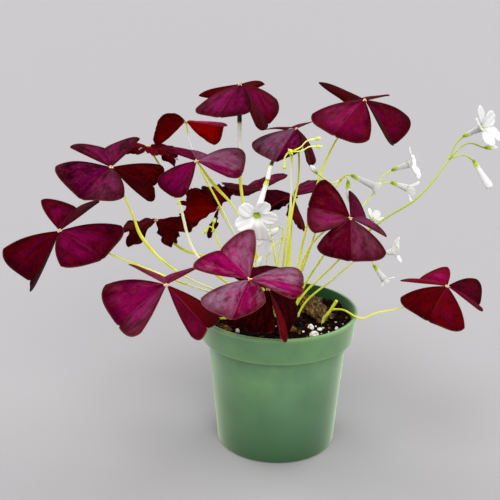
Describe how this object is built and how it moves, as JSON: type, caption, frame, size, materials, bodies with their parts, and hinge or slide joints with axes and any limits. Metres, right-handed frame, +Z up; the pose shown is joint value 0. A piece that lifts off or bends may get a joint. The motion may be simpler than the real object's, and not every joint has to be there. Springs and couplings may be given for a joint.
{
  "type": "potted purple shamrock plant",
  "caption": "Purple shamrock plant with three-part leaves on thin stems and small white flowers, growing in a round tapered nursery pot.",
  "frame": {"origin": "middle of the pot's flat underside", "axes": "+Z up along the pot's axis, -Y towards the side where the main flower hangs, +X to its right"},
  "size_m": [0.3121, 0.2114, 0.2468],
  "materials": {
    "pot_plastic": "moulded green polypropylene, satin",
    "growing_mix": "moist peat and bark growing mix with perlite, matt",
    "bark": "rough bark fibre, matt",
    "leaf": "living purple leaf, satin",
    "stem": "living yellow-green stem, satin",
    "petal": "white petal, soft"
  },
  "bodies": {
    "root": {"pot": "pot_plastic", "growing_mix": "growing_mix", "bark_chunk": "bark", "cut_stem": "stem", "leaf_stem_01": "stem", "leaf_blade_01": "leaf", "leaf_stem_02": "stem", "leaf_blade_02": "leaf", "leaf_stem_03": "stem", "leaf_blade_03": "leaf", "leaf_stem_04": "stem", "leaf_blade_04": "leaf", "leaf_stem_05": "stem", "leaf_blade_05": "leaf", "leaf_stem_06": "stem", "leaf_blade_06": "leaf", "leaf_stem_07": "stem", "leaf_blade_07": "leaf", "leaf_stem_08": "stem", "leaf_blade_08": "leaf", "leaf_stem_09": "stem", "leaf_blade_09": "leaf", "leaf_stem_10": "stem", "leaf_blade_10": "leaf", "leaf_stem_11": "stem", "leaf_blade_11": "leaf", "leaf_stem_12": "stem", "leaf_blade_12": "leaf", "leaf_stem_13": "stem", "leaf_blade_13": "leaf", "leaf_stem_14": "stem", "leaf_blade_14": "leaf", "leaf_stem_15": "stem", "leaf_blade_15": "leaf", "leaf_stem_16": "stem", "leaf_blade_16": "leaf", "leaf_stem_17": "stem", "leaf_blade_17": "leaf", "stalk_right": "stem", "stalk_middle": "stem", "stalk_behind": "stem", "stalk_centre": "stem", "stalk_front": "stem", "stalk_low": "stem", "stalk_spent": "stem", "stalk_side": "stem", "flower_right": "petal", "flower_upper": "petal", "flower_lower": "petal", "flower_side": "petal", "flower_front": "petal", "flower_low": "petal", "flower_pale": "petal", "flower_edge": "petal", "flower_tube": "petal", "bud_right": "petal", "bud_hanging": "petal", "bud_drooping": "petal", "bud_nodding": "petal", "bud_low": "petal"}
  },
  "joints": []
}
